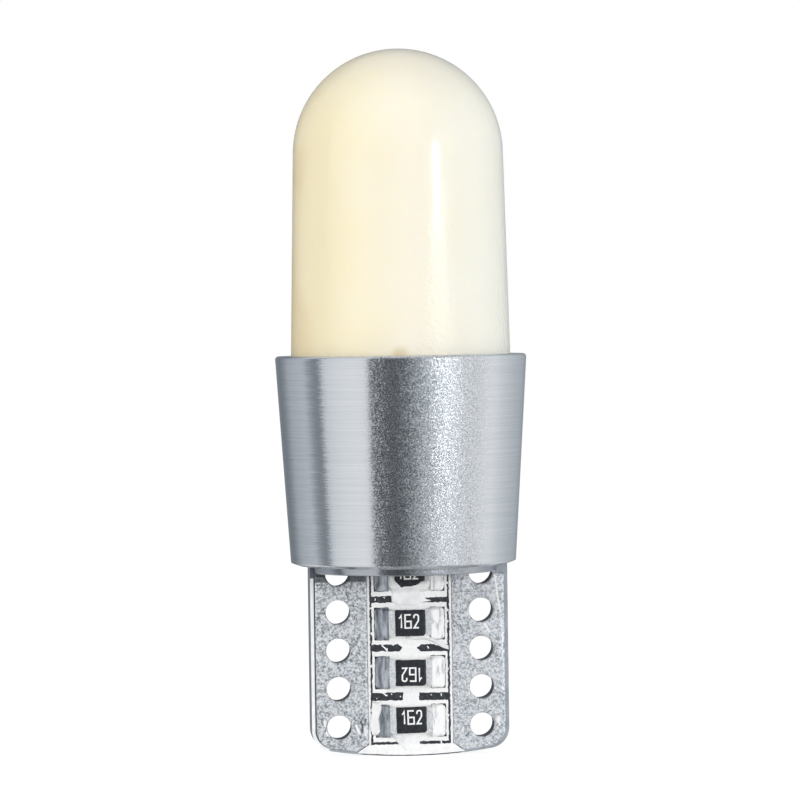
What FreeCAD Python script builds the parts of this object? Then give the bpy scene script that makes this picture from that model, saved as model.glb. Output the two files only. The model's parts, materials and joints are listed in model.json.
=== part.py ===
"""Wedge base LED bulb: a milky dome in a turned aluminium sleeve, on a printed circuit board blade.

Millimetres. The origin is the tip of the blade, on the sleeve's axis. +Z runs up to the dome,
and the resistors are on the front face, which looks along -Y. Across means along X.
"""
import FreeCAD, Part
import math
import os

import Sketcher

SIZES = {
    # Sleeve, a turned cone with a slotted lip below. Its bore clears the board's neck
    "blade_length": 8.74,
    "lip_height": 0.34,
    "lip_step": 0.3,
    "lip_wall": 0.35,
    "slot_depth": 0.32,
    "slot_gap": 0.04,
    "foot_wall": 0.93,
    "cone_height": 9.97,
    "seat_depth": 2.05,
    "seat_width": 0.87,
    "rim_wall": 0.7,
    "rim_fillet": 0.16,
    "foot_bevel": 0.4,
    "foot_rise": 0.14,
    # Dome and its skirt
    "dome_rise": 14.55,
    "dome_taper": 0.25,
    "dome_wall": 0.8,
    "dome_gap": 0.05,
    # Round board under the dome, with the light source on it
    "led_board_thickness": 0.8,
    "led_board_gap": 0.1,
    "dam_clear": 0.13,
    "dam_width": 0.4,
    "dam_height": 0.35,
    "dam_fillet": 0.12,
    "phosphor_height": 0.28,
    "die_side": 0.5,
    "die_height": 0.15,
    "die_clear": 0.2,
    # Main board: the blade that the holder grips, and its neck
    "board_thickness": 1.8,
    "blade_width": 9.4,
    "shoulder_width": 0.62,
    "board_offset": 0.17,
    "tip_radius": 26.0,
    "corner_radius": 1.0,
    "neck_gap": 0.06,
    # Tinned contacts and their plated holes
    "pad_thickness": 0.12,
    "copper_thickness": 0.06,
    "pad_margin": 0.11,
    "left_margin": 0.22,
    "right_margin": 0.18,
    "pad_reach": 1.0,
    "pad_cut_across": 0.57,
    "pad_cut_height": 0.57,
    "corner_share": 0.8,
    "via_diameter": 1.15,
    "via_plating": 0.05,
    "via_web": 0.05,
    "via_land": 0.08,
    "via_low": 1.42,
    "via_top_drop": 0.03,
    "via_rows": 5,
    "via_ring": 0.85,
    # White print on the front
    "print_thickness": 0.03,
    "print_gap": 0.02,
    "side_line_width": 0.11,
    "side_gap_width": 0.1,
    "frame_side": 0.11,
    "frame_edge": 0.2,
    "land_gap": 0.055,
    "strip_width": 0.78,
    "bar_height": 0.35,
    "last_bar_height": 0.15,
    "block_height": 0.54,
    # Chip resistors
    "chip_rows": 4,
    "chip_standoff": 0.06,
    "cap_thickness": 0.03,
    "resistor_length": 2.05,
    "resistor_width": 1.25,
    "resistor_height": 0.45,
    "resistor_band": 0.3,
    "glaze_thickness": 0.05,
    "solder_crest": 0.1,
    # Parts inside the sleeve
    "inner_level": 4.0,
    "capacitor_length": 3.2,
    "capacitor_width": 1.6,
    "capacitor_height": 1.2,
    "capacitor_band": 0.5,
    "capacitor_toe": 0.5,
    "bridge_across": 3.6,
    "bridge_height": 2.6,
    "bridge_thickness": 1.2,
    "bridge_lift": 0.1,
    "bridge_chamfer": 0.12,
    "lead_width": 0.45,
    "lead_thickness": 0.15,
    "lead_reach": 0.7,
    "lead_spread": 1.25,
    "film_thickness": 0.03,
    # Pins from the main board up through the round board
    "pin_diameter": 0.6,
    "pin_gap": 0.05,
    "pin_inset": 0.7,
    "pin_tail": 1.8,
    "pin_head": 0.3,
    "pin_solder_width": 0.9,
    "pin_solder_rise": 0.2,
    "pin_solder_clear": 0.3,
}

doc = FreeCAD.newDocument("wedge_bulb")
sheet = doc.addObject("Spreadsheet::Sheet", "Sizes")
for row, (alias, number) in enumerate(SIZES.items(), 1):
    sheet.set(f"A{row}", alias)
    sheet.set(f"B{row}", str(number))
    sheet.setAlias(f"B{row}", alias)
doc.recompute()

# Two points or values closer than this are the same
NEAR = 0.01
# The corners of an outline start on a rough ring of this radius, before they are held in place
ROUGH = 10

# Levels up the axis
LIP_LOW = "Sizes.blade_length"
CONE_LOW = f"({LIP_LOW} + Sizes.lip_height)"
SHOULDER = f"({CONE_LOW} + Sizes.slot_depth)"
RIM = f"({CONE_LOW} + Sizes.cone_height)"
SEAT = f"({RIM} - Sizes.seat_depth)"
LED_FACE = f"({SEAT} + Sizes.led_board_thickness)"
DOME_TOP = f"({RIM} + Sizes.dome_rise)"
INNER_LEVEL = f"({SEAT} - Sizes.inner_level)"
VIA_TOP = f"({LIP_LOW} - Sizes.via_top_drop)"
VIA_PITCH = f"(({VIA_TOP} - Sizes.via_low) / (Sizes.via_rows - 1))"

# Depths and widths of the main board, counted from its own middle
FACE = "(Sizes.board_thickness / 2)"
CONTACT = f"({FACE} + Sizes.pad_thickness)"
BLADE = "(Sizes.blade_width / 2)"
NECK = f"({BLADE} - Sizes.shoulder_width)"
VIA = "(Sizes.via_diameter / 2)"
BARREL = f"({VIA} + Sizes.via_plating)"
VIA_ACROSS = f"({NECK} - Sizes.via_web - {BARREL})"
PIN = "(Sizes.pin_diameter / 2)"
PIN_ACROSS = f"({NECK} - Sizes.pin_inset)"
PIN_DEPTH = f"({FACE} + Sizes.film_thickness + {PIN})"

# Contacts and print: a contact starts at a set distance from the chips, and leaves a land by its holes
PAD_INNER = (f"min(Sizes.resistor_length / 2 + Sizes.pad_reach,"
             f" {VIA_ACROSS} - {BARREL} - Sizes.via_land)")
CUT_OUTER = f"({PAD_INNER} + Sizes.pad_cut_across)"
LINE_OUTER = f"({PAD_INNER} - Sizes.print_gap)"
LINE_INNER = f"({LINE_OUTER} - Sizes.side_line_width)"
FRAME_OUTER = f"({LINE_INNER} - Sizes.side_gap_width)"
LAND_OUTER = f"({FRAME_OUTER} - Sizes.frame_side)"
LAND_INNER = "(Sizes.resistor_length / 2 - Sizes.resistor_band)"
LAND_HALF = "(Sizes.resistor_width / 2 + Sizes.solder_crest + Sizes.land_gap)"
FRAME_HALF = f"({LAND_HALF} + Sizes.frame_edge)"
CHIP_PITCH = f"(2 * {FRAME_HALF} + Sizes.bar_height)"

# Radii of the sleeve and of what sits in it
BORE = f"sqrt(({NECK} + Sizes.board_offset + Sizes.neck_gap)^2 + {CONTACT}^2)"
LIP_BORE = f"({BORE} - Sizes.lip_step)"
LIP = f"({LIP_BORE} + Sizes.lip_wall)"
FOOT = f"({BORE} + Sizes.foot_wall)"
COUNTERBORE = f"({BORE} + Sizes.seat_width)"
RIM_RADIUS = f"({COUNTERBORE} + Sizes.rim_wall)"
LED_BOARD = f"({COUNTERBORE} - Sizes.led_board_gap)"
SKIRT = f"({COUNTERBORE} - Sizes.dome_gap)"
DOME = f"({SKIRT} - Sizes.dome_taper)"
DOME_CENTRE = f"({DOME_TOP} - {DOME})"
PIN_SOLDER = "(Sizes.pin_solder_width / 2 + Sizes.pin_gap)"
DAM = (f"(sqrt(({PIN_ACROSS} - Sizes.board_offset)^2 + {PIN_DEPTH}^2)"
       f" - {PIN_SOLDER} - Sizes.dam_clear)")
LIT = f"({DAM} - Sizes.dam_width)"
DIE_PITCH = f"({LIT} / sqrt(2) - Sizes.die_side / 2 - Sizes.die_clear)"

pieces = []


def tip_edge(across):
    """Height of the blade's rounded tip at a distance from its middle."""
    return f"(Sizes.tip_radius - sqrt(Sizes.tip_radius^2 - ({across})^2))"


def chip_level(number):
    """Height of a chip resistor's middle, counted from the lowest."""
    return f"(Sizes.block_height + Sizes.last_bar_height + {FRAME_HALF} + {number} * {CHIP_PITCH})"


def keep(item, label):
    """Name an object as a separate piece of the bulb."""
    item.Label = label
    pieces.append(item)
    return item


def new_body(label, on_board=False):
    """An empty body. One on the main board shares the board's offset from the axis."""
    body = doc.addObject("PartDesign::Body", label)
    if on_board:
        body.setExpression(".Placement.Base.x", "Sizes.board_offset")
    return keep(body, label)


def new_sketch(body, role, offset=None):
    """A sketch on one of the body's own origin planes, moved along its normal if need be."""
    sketch = body.newObject("Sketcher::SketchObject", body.Name + "_sketch")
    plane = next(item for item in body.Origin.OriginFeatures if item.Role == role)
    sketch.AttachmentSupport = (plane, [""])
    sketch.MapMode = "FlatFace"
    if offset:
        sketch.setExpression(".AttachmentOffset.Base.z", offset)
    return sketch


def bind(sketch, constraint, formula):
    """Add a constraint and tie its value to a formula."""
    number = sketch.addConstraint(constraint)
    sketch.setExpression(f"Constraints[{number}]", formula)


def hold_point(sketch, edge, end, across, up):
    """Tie a point of the sketch to two formulas, or to the first alone."""
    point = sketch.getPoint(edge, end)
    bind(sketch, Sketcher.Constraint("DistanceX", -1, 1, edge, end, point.x), across)
    if up:
        bind(sketch, Sketcher.Constraint("DistanceY", -1, 1, edge, end, point.y), up)


def draw_outline(sketch, corners, round_tip=None):
    """A closed outline through corners held at formulas, which the solver moves into place.

    With round_tip, a radius, the first edge is an arc about the tip's centre, and its two
    ends are held across only.
    """
    first = sketch.GeometryCount
    count = len(corners)
    angles = [math.radians(-100 + 360 * index / count) for index in range(count + 1)]
    centre = FreeCAD.Vector(0, ROUGH, 0)
    rough = [centre + FreeCAD.Vector(math.cos(angle), math.sin(angle), 0) * ROUGH for angle in angles]
    for start, end in zip(rough, rough[1:]):
        sketch.addGeometry(Part.LineSegment(start, end))
    if round_tip:
        circle = Part.Circle(centre, FreeCAD.Vector(0, 0, 1), ROUGH)
        sketch.delGeometry(first)
        sketch.addGeometry(Part.ArcOfCircle(circle, angles[0], angles[1]))
        edges = [first + count - 1] + list(range(first, first + count - 1))
    else:
        edges = list(range(first, first + count))
    for edge, following in zip(edges, edges[1:] + edges[:1]):
        sketch.addConstraint(Sketcher.Constraint("Coincident", edge, 2, following, 1))
    if round_tip:
        hold_point(sketch, edges[0], 3, "0", "Sizes.tip_radius")
        bind(sketch, Sketcher.Constraint("Radius", edges[0], ROUGH), round_tip)
    for edge, (across, up) in zip(edges, corners):
        hold_point(sketch, edge, 1, across, up)


def draw_circle(sketch, across, up, radius):
    """A circle held at two formulas."""
    circle = Part.Circle(FreeCAD.Vector(1, 1, 0), FreeCAD.Vector(0, 0, 1), 1)
    edge = sketch.addGeometry(circle)
    hold_point(sketch, edge, 3, across, up)
    bind(sketch, Sketcher.Constraint("Radius", edge, 1), radius)


def draw_rectangle(sketch, left, right, low, high):
    """A rectangle between four formulas."""
    draw_outline(sketch, [(left, low), (right, low), (right, high), (left, high)])


def add_pad(body, sketch, length, both_ways=False, backwards=False):
    """Raise a sketch into the body."""
    pad = body.newObject("PartDesign::Pad", body.Name + "_pad")
    pad.Profile = sketch
    pad.setExpression("Length", length)
    if both_ways:
        pad.SideType = "Symmetric"
    pad.Reversed = backwards
    body.Tip = pad
    return pad


def add_pocket(body, sketch, downwards=False):
    """Cut a sketch right through the body, both ways, or only on the side below its plane."""
    pocket = body.newObject("PartDesign::Pocket", body.Name + "_pocket")
    pocket.Profile = sketch
    pocket.Type = "ThroughAll"
    pocket.SideType = "One side" if downwards else "Symmetric"
    body.Tip = pocket
    return pocket


def add_revolution(body, sketch):
    """Turn a half section about the bulb's axis."""
    turned = body.newObject("PartDesign::Revolution", body.Name + "_turned")
    turned.Profile = sketch
    turned.ReferenceAxis = (sketch, ["V_Axis"])
    turned.Angle = 360
    body.Tip = turned
    return turned


def dress_edges(body, kind, size, wanted):
    """Fillet or Chamfer the body's edges that a test picks."""
    doc.recompute()
    base = body.Tip
    names = [f"Edge{number}" for number, edge in enumerate(base.Shape.Edges, 1) if wanted(edge)]
    dressed = body.newObject(f"PartDesign::{kind}", f"{body.Name}_{kind.lower()}")
    dressed.Base = (base, names)
    dressed.setExpression("Radius" if kind == "Fillet" else "Size", size)
    body.Tip = dressed


def widest_ring(body, level):
    """A test that picks the widest of the body's edges that lie flat at a height."""
    def at_level(edge):
        return edge.BoundBox.ZLength < NEAR and abs(edge.BoundBox.ZMin - level) < NEAR

    doc.recompute()
    width = max(edge.BoundBox.XLength for edge in body.Tip.Shape.Edges if at_level(edge))
    return lambda edge: at_level(edge) and edge.BoundBox.XLength > width - NEAR


def low_corners(body):
    """A test that picks the edges through the board's thickness at the body's low outer corners."""
    doc.recompute()
    box = body.Tip.Shape.BoundBox
    outer = max(-box.XMin, box.XMax)

    def wanted(edge):
        middle = edge.CenterOfMass
        thin = edge.BoundBox.XLength + edge.BoundBox.ZLength < NEAR
        return thin and abs(middle.x) > outer - NEAR and middle.z < sheet.blade_length / 2
    return wanted


def block(name, across, depth, up):
    """A rectangular block between three pairs of formulas."""
    box = doc.addObject("Part::Box", name)
    for side, axis, (low, high) in (("Length", "x", across), ("Width", "y", depth), ("Height", "z", up)):
        box.setExpression(side, f"({high}) - ({low})")
        box.setExpression(f".Placement.Base.{axis}", low)
    return box


def round_bar(name, radius, height, across, depth, low):
    """An upright cylinder."""
    bar = doc.addObject("Part::Cylinder", name)
    bar.setExpression("Radius", radius)
    bar.setExpression("Height", height)
    bar.setExpression(".Placement.Base.x", across)
    bar.setExpression(".Placement.Base.y", depth)
    bar.setExpression(".Placement.Base.z", low)
    return bar


def cut(name, base, tool):
    """One object less another."""
    result = doc.addObject("Part::Cut", name)
    result.Base = base
    result.Tool = tool
    return result


def fuse(name, shapes):
    """Several objects as one, which stay apart where they don't touch."""
    result = doc.addObject("Part::MultiFuse", name)
    result.Shapes = shapes
    return result


def on_board(across):
    """A distance from the main board's middle, counted from the axis."""
    return f"(Sizes.board_offset + ({across}))"


def from_middle(half, middle="0"):
    """The pair of formulas half a width to each side of a middle."""
    return (f"{middle} - {half}", f"{middle} + {half}")


def heat_sink_sleeve():
    """The turned aluminium cone: a seat for the round board, and a lip with a slot for the blade."""
    body = new_body("heat_sink_sleeve")
    sketch = new_sketch(body, "XZ_Plane")
    draw_outline(sketch, [
        (LIP_BORE, LIP_LOW),
        (LIP, LIP_LOW),
        (LIP, CONE_LOW),
        (f"{FOOT} - Sizes.foot_bevel", CONE_LOW),
        (FOOT, f"{CONE_LOW} + Sizes.foot_rise"),
        (RIM_RADIUS, RIM),
        (COUNTERBORE, RIM),
        (COUNTERBORE, SEAT),
        (BORE, SEAT),
        (BORE, SHOULDER),
        (LIP_BORE, SHOULDER),
    ])
    add_revolution(body, sketch)
    rim_level = sheet.blade_length + sheet.lip_height + sheet.cone_height
    dress_edges(body, "Fillet", "Sizes.rim_fillet", widest_ring(body, rim_level))
    slot = new_sketch(body, "XY_Plane", SHOULDER)
    across = from_middle(f"({BLADE} + Sizes.slot_gap)", "Sizes.board_offset")
    draw_rectangle(slot, *across, *from_middle(f"({CONTACT} + Sizes.slot_gap)"))
    add_pocket(body, slot, downwards=True)


def diffuser_dome():
    """The moulded dome: a round end, sides that widen a little downwards, and an open skirt."""
    body = new_body("diffuser_dome")
    sketch = new_sketch(body, "XZ_Plane")
    rim = sheet.blade_length + sheet.lip_height + sheet.cone_height
    skirt_low = rim - sheet.seat_depth + sheet.led_board_thickness
    neck = sheet.blade_width / 2 - sheet.shoulder_width + sheet.board_offset + sheet.neck_gap
    bore = math.hypot(neck, sheet.board_thickness / 2 + sheet.pad_thickness)
    skirt = bore + sheet.seat_width - sheet.dome_gap
    dome = skirt - sheet.dome_taper
    centre = FreeCAD.Vector(0, rim + sheet.dome_rise - dome, 0)
    upright = FreeCAD.Vector(0, 0, 1)
    radii = (dome, dome - sheet.dome_wall)
    feet = (skirt, skirt - sheet.dome_wall)
    for radius, foot in zip(radii, feet):
        start = centre + FreeCAD.Vector(radius, 0, 0)
        sketch.addGeometry(Part.LineSegment(FreeCAD.Vector(foot, skirt_low, 0), start))
        sketch.addGeometry(Part.ArcOfCircle(Part.Circle(centre, upright, radius), 0, math.pi / 2))
    outer_side, outer_arc, inner_side, inner_arc = range(4)
    tops = [centre + FreeCAD.Vector(0, radius, 0) for radius in radii]
    crown = sketch.addGeometry(Part.LineSegment(tops[0], tops[1]))
    foot_points = [FreeCAD.Vector(foot, skirt_low, 0) for foot in feet]
    end_face = sketch.addGeometry(Part.LineSegment(foot_points[1], foot_points[0]))
    joins = (
        ("Tangent", outer_side, 2, outer_arc, 1),
        ("Tangent", inner_side, 2, inner_arc, 1),
        ("Coincident", outer_arc, 2, crown, 1),
        ("Coincident", inner_arc, 2, crown, 2),
        ("Coincident", inner_side, 1, end_face, 1),
        ("Coincident", outer_side, 1, end_face, 2),
        ("Coincident", outer_arc, 3, inner_arc, 3),
        ("PointOnObject", crown, 1, -2),
        ("PointOnObject", crown, 2, -2),
    )
    for join in joins:
        sketch.addConstraint(Sketcher.Constraint(*join))
    hold_point(sketch, outer_arc, 3, "0", DOME_CENTRE)
    bind(sketch, Sketcher.Constraint("Radius", outer_arc, radii[0]), DOME)
    bind(sketch, Sketcher.Constraint("Radius", inner_arc, radii[1]), f"{DOME} - Sizes.dome_wall")
    hold_point(sketch, outer_side, 1, SKIRT, LED_FACE)
    hold_point(sketch, inner_side, 1, f"{SKIRT} - Sizes.dome_wall", LED_FACE)
    add_revolution(body, sketch)


def led_board():
    """The round metal core board on the sleeve's seat, with a hole for each pin."""
    body = new_body("led_board")
    disc = new_sketch(body, "XY_Plane", SEAT)
    draw_circle(disc, "0", "0", LED_BOARD)
    add_pad(body, disc, "Sizes.led_board_thickness")
    holes = new_sketch(body, "XY_Plane", SEAT)
    for side in (-1, 1):
        draw_circle(holes, on_board(f"{side} * {PIN_ACROSS}"), f"-{PIN_DEPTH}", f"{PIN} + Sizes.pin_gap")
    add_pocket(body, holes)


def light_source():
    """Nine dies in a ring of silicone, covered with phosphor."""
    dies = []
    half = "Sizes.die_side / 2"
    for row in (-1, 0, 1):
        for column in (-1, 0, 1):
            dies.append(block(
                "die",
                from_middle(half, f"{column} * {DIE_PITCH}"),
                from_middle(half, f"{row} * {DIE_PITCH}"),
                (LED_FACE, f"{LED_FACE} + Sizes.die_height"),
            ))
    group = doc.addObject("Part::Compound", "led_dies")
    group.Links = dies
    keep(group, "led_dies")
    disc = round_bar("phosphor_disc", LIT, "Sizes.phosphor_height", "0", "0", LED_FACE)
    keep(cut("cob_phosphor", disc, group), "cob_phosphor")
    body = new_body("cob_dam")
    sketch = new_sketch(body, "XZ_Plane")
    draw_rectangle(sketch, LIT, DAM, LED_FACE, f"{LED_FACE} + Sizes.dam_height")
    add_revolution(body, sketch)
    doc.recompute()
    top = body.Tip.Shape.BoundBox.ZMax
    dress_edges(body, "Fillet", "Sizes.dam_fillet", widest_ring(body, top))


def main_board():
    """The blade with its rounded tip, a shoulder in the lip's slot, and a neck up to the round board."""
    body = new_body("main_board", on_board=True)
    sketch = new_sketch(body, "XZ_Plane")
    draw_outline(sketch, [
        (f"-{BLADE}", None),
        (BLADE, None),
        (BLADE, SHOULDER),
        (NECK, SHOULDER),
        (NECK, SEAT),
        (f"-{NECK}", SEAT),
        (f"-{NECK}", SHOULDER),
        (f"-{BLADE}", SHOULDER),
    ], round_tip="Sizes.tip_radius")
    add_pad(body, sketch, "Sizes.board_thickness", both_ways=True)
    dress_edges(body, "Fillet", "Sizes.corner_radius", low_corners(body))
    drill_vias(body, (-1, 1), BARREL)


def drill_vias(body, sides, radius):
    """The columns of holes through the blade, one on each side asked for."""
    sketch = new_sketch(body, "XZ_Plane")
    draw_vias(sketch, sides, radius)
    add_pocket(body, sketch)


def draw_vias(sketch, sides, radius):
    """A circle for each plated hole."""
    for side in sides:
        for row in range(int(sheet.via_rows)):
            draw_circle(sketch, f"{side} * {VIA_ACROSS}", f"Sizes.via_low + {row} * {VIA_PITCH}", radius)


def contact(label, side):
    """The tinned pads on both faces of one side, a copper tab up the neck, and the plated holes."""
    body = new_body(label, on_board=True)
    top = f"({LIP_LOW} - Sizes.pad_margin)"
    margin = "Sizes.left_margin" if side < 0 else "Sizes.right_margin"
    outer = f"({BLADE} - {margin})"
    front = new_sketch(body, "XZ_Plane", FACE)
    draw_outline(front, [
        (f"{side} * {PAD_INNER}", top),
        (f"{side} * {PAD_INNER}", "Sizes.pad_cut_height"),
        (f"{side} * {CUT_OUTER}", f"{tip_edge(CUT_OUTER)} + Sizes.pad_margin"),
        (f"{side} * {outer}", f"{tip_edge(outer)} + Sizes.pad_margin"),
        (f"{side} * {outer}", top),
    ])
    pad = add_pad(body, front, "Sizes.pad_thickness")
    neck = new_sketch(body, "XZ_Plane", FACE)
    neck_outer = f"({NECK} - Sizes.via_web / 2)"
    neck_top = f"{VIA_TOP} + Sizes.via_ring"
    draw_rectangle(neck, f"{side} * {PAD_INNER}", f"{side} * {neck_outer}", top, neck_top)
    tab = add_pad(body, neck, "Sizes.copper_thickness")
    barrels = new_sketch(body, "XZ_Plane", FACE)
    draw_vias(barrels, (side,), BARREL)
    add_pad(body, barrels, "Sizes.board_thickness", backwards=True)
    doc.recompute()
    mirrored = body.newObject("PartDesign::Mirrored", label + "_mirrored")
    mirrored.Originals = [pad, tab]
    plane = next(item for item in body.Origin.OriginFeatures if item.Role == "XZ_Plane")
    mirrored.MirrorPlane = (plane, [""])
    body.Tip = mirrored
    corner = f"min(Sizes.corner_radius - Sizes.pad_margin, Sizes.corner_share * ({outer} - {CUT_OUTER}))"
    dress_edges(body, "Fillet", corner, low_corners(body))
    drill_vias(body, (side,), VIA)


def front_legend():
    """White print: a block at the tip, a line beside each contact, and a frame round each chip."""
    body = new_body("front_legend", on_board=True)
    plate = new_sketch(body, "XZ_Plane", FACE)
    top = f"({LIP_LOW} - Sizes.pad_margin)"
    outer = f"({CUT_OUTER} - Sizes.print_gap)"
    draw_outline(plate, [
        (f"-{outer}", None),
        (outer, None),
        (LINE_OUTER, "Sizes.pad_cut_height"),
        (LINE_OUTER, top),
        (f"-{LINE_OUTER}", top),
        (f"-{LINE_OUTER}", "Sizes.pad_cut_height"),
    ], round_tip="Sizes.tip_radius - Sizes.print_gap")
    add_pad(body, plate, "Sizes.print_thickness")
    bare = new_sketch(body, "XZ_Plane")
    for side in (-1, 1):
        across = (f"{side} * {FRAME_OUTER}", f"{side} * {LINE_INNER}")
        draw_rectangle(bare, *across, "Sizes.block_height", LIP_LOW)
    add_pocket(body, bare)
    bars = new_sketch(body, "XZ_Plane")
    inner = "Sizes.strip_width / 2"
    past_frame = f"({FRAME_OUTER} + Sizes.side_gap_width / 2)"
    for side in (-1, 1):
        bar_low = "Sizes.block_height"
        for number in range(int(sheet.chip_rows)):
            bar_high = f"({chip_level(number)} - {FRAME_HALF})"
            draw_rectangle(bars, f"{side} * {inner}", f"{side} * {past_frame}", bar_low, bar_high)
            bar_low = f"({chip_level(number)} + {FRAME_HALF})"
    add_pocket(body, bars)
    lands = new_sketch(body, "XZ_Plane")
    for side in (-1, 1):
        for number in range(int(sheet.chip_rows)):
            low, high = from_middle(LAND_HALF, chip_level(number))
            draw_rectangle(lands, f"{side} * {LAND_INNER}", f"{side} * {LAND_OUTER}", low, high)
    add_pocket(body, lands)


def chip(kind, suffix, level, toe):
    """A ceramic chip on the front face, with metal end caps and solder out to its toe."""
    length, width, height, band = (f"Sizes.{kind}_{name}" for name in ("length", "width", "height", "band"))
    under = f"({FACE} + Sizes.chip_standoff)"
    over = f"({under} + {height})"
    up = from_middle(f"{width} / 2", level)
    inside = f"({length} / 2 - Sizes.cap_thickness)"
    ceramic = block(
        f"{kind}_body{suffix}",
        (on_board(f"-{inside}"), on_board(inside)),
        (f"-({over} - Sizes.cap_thickness)", f"-({under} + Sizes.cap_thickness)"),
        up,
    )
    keep(ceramic, f"{kind}_body{suffix}")
    ends = []
    joints = []
    for side in (-1, 1):
        tip = on_board(f"{side} * {length} / 2")
        band_end = on_board(f"{side} * ({length} / 2 - {band})")
        across = (band_end, tip) if side > 0 else (tip, band_end)
        ends.append(block("cap_end", across, (f"-{over}", f"-{under}"), up))
        joints.append(block("solder_bed", across, (f"-{under}", f"-{FACE}"), up))
        joints.append(solder_wedge(side, f"{length} / 2", toe, f"-({over} - Sizes.cap_thickness)", up))
    keep(cut(f"{kind}_caps{suffix}", fuse("cap_ends", ends), ceramic), f"{kind}_caps{suffix}")
    keep(fuse(f"{kind}_solder{suffix}", joints), f"{kind}_solder{suffix}")


def solder_wedge(side, heel, toe, crest_depth, up):
    """Solder that slopes from the end of a chip down to the board."""
    wedge = doc.addObject("Part::Wedge", "solder_wedge")
    heel_place = on_board(f"{side} * {heel}")
    crest_place = on_board(f"{side} * ({heel} + Sizes.solder_crest)")
    toe_place = on_board(f"{side} * {toe}")
    near = ("min", "max") if side > 0 else ("max", "min")
    wedge.setExpression(f"X{near[0]}", heel_place)
    wedge.setExpression(f"X{near[1]}", crest_place)
    wedge.setExpression(f"X2{near[0]}", heel_place)
    wedge.setExpression(f"X2{near[1]}", toe_place)
    wedge.setExpression("Ymin", crest_depth)
    wedge.setExpression("Ymax", f"-{FACE}")
    wedge.setExpression("Zmin", up[0])
    wedge.setExpression("Zmax", up[1])
    wedge.setExpression("Z2min", f"{up[0]} - Sizes.solder_crest")
    wedge.setExpression("Z2max", f"{up[1]} + Sizes.solder_crest")
    return wedge


def resistor(number, level):
    """A chip resistor with its black glaze."""
    suffix = f"_{number}"
    chip("resistor", suffix, level, LAND_OUTER)
    crown = f"({FACE} + Sizes.chip_standoff + Sizes.resistor_height - Sizes.cap_thickness)"
    glaze = block(
        f"resistor_glaze{suffix}",
        (on_board(f"-{LAND_INNER}"), on_board(LAND_INNER)),
        (f"-({crown} + Sizes.glaze_thickness)", f"-{crown}"),
        from_middle("Sizes.resistor_width / 2", level),
    )
    keep(glaze, f"resistor_glaze{suffix}")


def bridge():
    """The bridge rectifier on the back of the neck, with four bent leads soldered down."""
    body = new_body("bridge_rectifier", on_board=True)
    sketch = new_sketch(body, "XZ_Plane", f"-({FACE} + Sizes.bridge_lift)")
    half_across = "Sizes.bridge_across / 2"
    low, high = from_middle("Sizes.bridge_height / 2", INNER_LEVEL)
    draw_rectangle(sketch, f"-{half_across}", half_across, low, high)
    add_pad(body, sketch, "Sizes.bridge_thickness", backwards=True)
    doc.recompute()
    back = body.Tip.Shape.BoundBox.YMax
    dress_edges(body, "Chamfer", "Sizes.bridge_chamfer", lambda edge: edge.BoundBox.YMin > back - NEAR)
    foot = f"({FACE} + Sizes.film_thickness)"
    leads = []
    films = []
    for side in (-1, 1):
        across = from_middle("Sizes.lead_width / 2", on_board(f"{side} * Sizes.lead_spread"))
        for end in (-1, 1):
            root = f"({INNER_LEVEL} + {end} * Sizes.bridge_height / 2)"
            stem = f"({root} + {end} * Sizes.lead_thickness)"
            toe = f"({root} + {end} * Sizes.lead_reach)"
            stem_up = (root, stem) if end > 0 else (stem, root)
            foot_up = (root, toe) if end > 0 else (toe, root)
            middle = f"({FACE} + Sizes.bridge_lift + Sizes.bridge_thickness / 2)"
            leads.append(block("lead_stem", across, (foot, middle), stem_up))
            leads.append(block("lead_foot", across, (foot, f"{foot} + Sizes.lead_thickness"), foot_up))
            films.append(block("lead_film", across, (FACE, foot), foot_up))
    keep(fuse("bridge_leads", leads), "bridge_leads")
    keep(fuse("bridge_solder", films), "bridge_solder")


def pin(label, solder_label, side):
    """A pin soldered to the neck, up through the round board and soldered on top of it."""
    across = on_board(f"{side} * {PIN_ACROSS}")
    low = f"({SEAT} - Sizes.pin_tail)"
    height = f"Sizes.pin_tail + Sizes.led_board_thickness + Sizes.pin_head"
    bar = keep(round_bar(label, PIN, height, across, f"-{PIN_DEPTH}", low), label)
    bed = block(
        "pin_bed",
        from_middle("Sizes.pin_solder_width / 2", across),
        (f"-{PIN_DEPTH}", f"-{FACE}"),
        (low, f"{SEAT} - Sizes.pin_solder_clear"),
    )
    crown = doc.addObject("Part::Cone", "pin_crown")
    crown.setExpression("Radius1", PIN_SOLDER)
    crown.setExpression("Radius2", f"{PIN} + Sizes.pin_gap")
    crown.setExpression("Height", "Sizes.pin_solder_rise")
    crown.setExpression(".Placement.Base.x", across)
    crown.setExpression(".Placement.Base.y", f"-{PIN_DEPTH}")
    crown.setExpression(".Placement.Base.z", LED_FACE)
    keep(cut(solder_label, fuse("pin_joints", [bed, crown]), bar), solder_label)


heat_sink_sleeve()
diffuser_dome()
led_board()
light_source()
main_board()
contact("left_contact", -1)
contact("right_contact", 1)
front_legend()
for number in range(int(sheet.chip_rows)):
    resistor(number + 1, chip_level(number))
chip("capacitor", "", INNER_LEVEL, "(Sizes.capacitor_length / 2 + Sizes.capacitor_toe)")
bridge()
pin("led_pin_left", "pin_solder_left", -1)
pin("led_pin_right", "pin_solder_right", 1)
doc.recompute()

for item in doc.Objects:
    if "Invalid" in item.State or "Error" in item.State:
        raise RuntimeError(f"{item.Label} failed: {item.State}")
for item in pieces:
    if item.Shape.isNull() or not item.Shape.isValid() or not item.Shape.Solids:
        raise RuntimeError(f"{item.Label} has no valid shape")

os.makedirs("parts", exist_ok=True)
for item in pieces:
    item.Shape.exportStep(f"parts/{item.Label}.step")
    print(item.Label, len(item.Shape.Solids), round(item.Shape.Volume, 4))
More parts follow.
